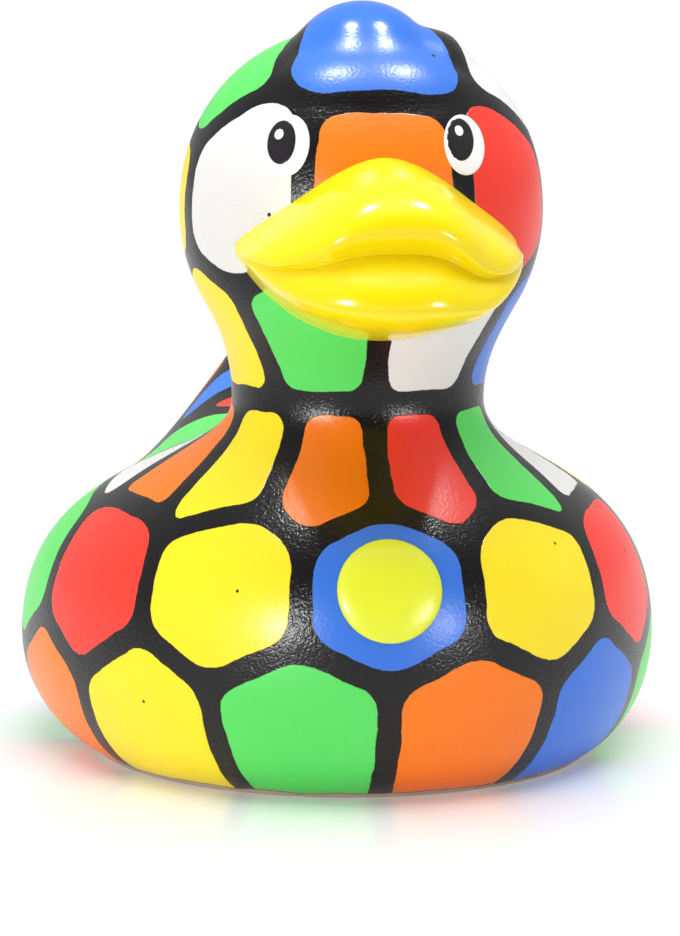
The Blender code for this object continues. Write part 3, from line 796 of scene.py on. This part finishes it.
def lay_on_skin(mesh, centre, outward, up):
    """Moves a flat shape onto the skin: its z becomes the height above the skin."""
    right = up.cross(outward)
    for vert in mesh.verts:
        start = centre + right * vert.co.x + up * vert.co.y + outward * DROP_HEIGHT
        hit, _, _, _ = skin_tree.ray_cast(start, -outward)
        vert.co = hit + outward * vert.co.z
    return mesh


def pillow_disc(width, height, relief, edge, rings=28, segments=96):
    """A flat disc with a rounded edge, its underside sunk by its own relief."""
    mesh = bmesh.new()
    bmesh.ops.create_uvsphere(mesh, u_segments=segments, v_segments=rings, radius=1.0)
    for vert in mesh.verts:
        flat = math.hypot(vert.co.x, vert.co.y)
        spread = flat ** edge / flat if flat > TINY else 0.0
        tall = math.copysign(abs(vert.co.z) ** (2 * edge), vert.co.z)
        vert.co = Vector((vert.co.x * spread * width / 2, vert.co.y * spread * height / 2, relief * tall))
    return mesh


boss_finish = coat_material("boss_paint", BOSS_GREEN, BOSS_PALE_GREEN, BOSS_COAT_NOISE, BOSS_ROUGHNESS,
                            BOSS_GRAIN, BOSS_SWELL)
boss_disc = pillow_disc(BOSS_DIAMETER, BOSS_DIAMETER, BOSS_RELIEF, BOSS_EDGE)
boss = add_piece("chest_boss", lay_on_skin(boss_disc, *chest_place(BOSS_HEIGHT)), boss_finish)

# Eyes
# Each eye is pad-printed on the face in three glossy layers: a white oval, a black pupil set high and
# towards the duck's right, and a white glint. The left pupil's edge is a little chipped.

EYE_TURNS = {"left": 28.5, "right": -32.5}
EYE_SLOPE = 22.5
EYE_TILTS = {"left": -19.0, "right": 8.0}
EYE_WHITE = (0.90, 0.90, 0.90)
EYE_BLACK = (0.012, 0.010, 0.012)
PRINT_EDGE = 0.2
PRINT_NOISE = (400.0, 2.0)
PRINT_ROUGHNESS = (0.1, 0.16)
PRINT_GRAIN = 0.004 * MM
PRINT_SWELL = 0.03 * MM
CHIP_DEPTH = 0.06 * MM
CHIP_WAVES = ((11, 0.0), (29, 1.0))
CHIPS_BEGIN = 0.1
CHIPS_FULL = 0.4
# Each layer's place across and up, width and height, and thickness, in millimetres, and its colour.
EYE_LAYERS = (
    ("white", (0.0, 0.0), (5.6, 7.4), 0.05, EYE_WHITE),
    ("pupil", (-0.65, 0.40), (3.6, 5.3), 0.09, EYE_BLACK),
    ("glint", (-0.95, 1.35), (1.15, 1.3), 0.12, EYE_WHITE),
)


def chip_edge(disc, width):
    """Breaks the edge of a print along its side towards the bill."""
    for vert in disc.verts:
        if vert.co.x < -CHIPS_BEGIN * width:
            angle = math.atan2(vert.co.y, vert.co.x)
            share = min(1.0, math.hypot(vert.co.x, vert.co.y) / (CHIPS_FULL * width))
            wave = sum(math.sin(count * angle + start) for count, start in CHIP_WAVES)
            vert.co.x += share * CHIP_DEPTH * wave


def eye_disc(side_name, layer, across, above, width, height, lift):
    """One printed layer of an eye, laid on the face."""
    outward = out_from_head(EYE_TURNS[side_name], EYE_SLOPE)
    upright = (Vector((0.0, 0.0, 1.0)) - outward * outward.z).normalized()
    tilted = Matrix.Rotation(math.radians(EYE_TILTS[side_name]), 3, outward) @ upright
    disc = pillow_disc(width, height, lift, PRINT_EDGE, rings=18, segments=72)
    if (side_name, layer) == ("left", "pupil"):
        chip_edge(disc, width)
    bmesh.ops.translate(disc, verts=disc.verts, vec=(across, above, 0.0))
    return lay_on_skin(disc, HEAD_CENTRE + outward * HEAD_RADIUS, outward, tilted)


def eye_print(layer, colour):
    """One layer's glossy ink."""
    return coat_material("eye_" + layer, colour, colour, PRINT_NOISE, PRINT_ROUGHNESS, PRINT_GRAIN,
                         PRINT_SWELL)


eye_prints = {layer: eye_print(layer, colour) for layer, _, _, _, colour in EYE_LAYERS}
for side_name in EYE_TURNS:
    for layer, place, size, lift, _ in EYE_LAYERS:
        disc = eye_disc(side_name, layer, *[value * MM for value in (*place, *size, lift)])
        eye = add_piece(f"{side_name}_eye_{layer}", disc, eye_prints[layer])

# Pale table and light
# A glossy white table top stands in a white surround, under a wide soft box and with a small glow from
# the front. Four small lamps, two overhead and two low in front, only make the glints.

TABLE_RADIUS = 25.0
TABLE_WHITE = (0.93, 0.93, 0.935, 1.0)
TABLE_HAZE = (30.0, 2.0)
TABLE_ROUGHNESS = (0.06, 0.17)
FADE_TO_WHITE = (0.040, 0.14)
# Even beside the duck a share of the table glows: painted light that lifts the floor's shade.
NEAR_GLOW_SHARE = 0.20
SURROUND_LEVEL = 0.86
OPENING_LEVEL = 0.10
OPENING_INNER = math.radians(28)
OPENING_OUTER = math.radians(82)
MIRRORED_SHARE = 0.6
LAMP_AIM = Vector((0.0, 0.0, 0.05))
# Each lamp's place, width and power.
GLINT_LAMPS = {
    "right_glint_lamp": ((-0.22, -0.06, 0.97), 0.08, 8.6),
    "left_glint_lamp": ((0.32, -0.04, 0.94), 0.08, 8.6),
    "right_front_glint_lamp": ((-0.70, -0.78, 0.08), 0.20, 8.0),
    "left_front_glint_lamp": ((0.58, -0.86, 0.08), 0.16, 5.0),
}
SOFT_BOX = ((0.03, -0.15, 1.10), 1.10, 13.5)
FRONT_GLOW = ((-0.70, -0.78, 0.08), 0.22, 3.4)


def table_material():
    """White lacquer with a faint painted glow beside the duck, which rises into a lit backdrop."""
    material, tree, shader = new_material("pale_table")
    haze = add_noise(tree, "Faint unevenness", *TABLE_HAZE)
    shader.inputs["Base Color"].default_value = TABLE_WHITE
    tree.links.new(varied(tree, haze, *TABLE_ROUGHNESS), shader.inputs["Roughness"])
    place = tree.nodes.new("ShaderNodeTexCoord")
    away = add_node(tree, "ShaderNodeVectorMath", "Distance from the duck")
    away.operation = "LENGTH"
    tree.links.new(place.outputs["Object"], away.inputs[0])
    fade = add_ramp(tree, away.outputs["Value"], *FADE_TO_WHITE, low=NEAR_GLOW_SHARE)
    glow = add_node(tree, "ShaderNodeEmission", "Lit backdrop", Color=(1.0, 1.0, 1.0, 1.0), Strength=1.0)
    blend = tree.nodes.new("ShaderNodeMixShader")
    for socket, output in zip(blend.inputs, (fade, shader.outputs[0], glow.outputs[0])):
        tree.links.new(output, socket)
    tree.links.new(blend.outputs[0], tree.nodes["Material Output"].inputs["Surface"])
    return material


def make_table():
    mesh = bmesh.new()
    bmesh.ops.create_circle(mesh, cap_ends=True, segments=96, radius=TABLE_RADIUS)
    data = bpy.data.meshes.new("table")
    mesh.to_mesh(data)
    mesh.free()
    data.materials.append(table_material())
    table = bpy.data.objects.new("table", data)
    bpy.context.scene.collection.objects.link(table)
    return table


def add_lamp(name, place, size, power):
    """A round lamp that looks at the duck."""
    light = bpy.data.lights.new(name, "AREA")
    light.shape = "DISK"
    light.size = size
    light.energy = power
    lamp = bpy.data.objects.new(name, light)
    lamp.location = place
    lamp.rotation_euler = (Vector(place) - LAMP_AIM).to_track_quat("Z", "Y").to_euler()
    bpy.context.scene.collection.objects.link(lamp)
    return lamp


def white_surround():
    """White to the camera. It lights the duck less from round the camera, and is mirrored dimmer still."""
    world = bpy.data.worlds.new("white_surround")
    world.use_nodes = True
    tree = world.node_tree
    background = tree.nodes["Background"]
    background.inputs["Color"].default_value = (1.0, 1.0, 1.0, 1.0)
    rays = tree.nodes.new("ShaderNodeLightPath")
    place = tree.nodes.new("ShaderNodeTexCoord")
    split = add_node(tree, "ShaderNodeSeparateXYZ", "Ahead and behind")
    tree.links.new(place.outputs["Generated"], split.inputs[0])
    opening = add_ramp(tree, split.outputs["Y"], -math.cos(OPENING_INNER), -math.cos(OPENING_OUTER),
                       low=OPENING_LEVEL, high=SURROUND_LEVEL)
    dimming = varied(tree, rays.outputs["Is Glossy Ray"], MIRRORED_SHARE - 1.0, 1.0)
    lit = math_node(tree, "MULTIPLY", opening, dimming)
    strength = math_node(tree, "MAXIMUM", lit, rays.outputs["Is Camera Ray"])
    tree.links.new(strength, background.inputs["Strength"])
    return world


make_table()
for name, (place, size, power) in GLINT_LAMPS.items():
    add_lamp(name, place, size, power).visible_diffuse = False
add_lamp("soft_box", *SOFT_BOX).visible_glossy = False
add_lamp("front_glow", *FRONT_GLOW)
bpy.context.scene.world = white_surround()
bpy.context.scene.view_settings.view_transform = "Standard"

# Camera
# The camera stands at the height of the crown, a little to the duck's right, and tips down.

CAMERA_DISTANCE = 0.450
CAMERA_TURN = math.radians(7.3)
CAMERA_HEIGHT = 0.092
CAMERA_TIP = math.radians(7.29)
CAMERA_PAN = math.radians(7.256)
CAMERA_LENS = 140.6
FILM_WIDTH = 36.0

camera_data = bpy.data.cameras.new("camera")
camera_data.lens = CAMERA_LENS
camera_data.sensor_width = FILM_WIDTH
camera = bpy.data.objects.new("camera", camera_data)
camera.location = Matrix.Rotation(-CAMERA_TURN, 3, "Z") @ Vector((0.0, -CAMERA_DISTANCE, CAMERA_HEIGHT))
camera.rotation_euler = (math.pi / 2 - CAMERA_TIP, 0.0, -CAMERA_PAN)
bpy.context.scene.collection.objects.link(camera)
bpy.context.scene.camera = camera
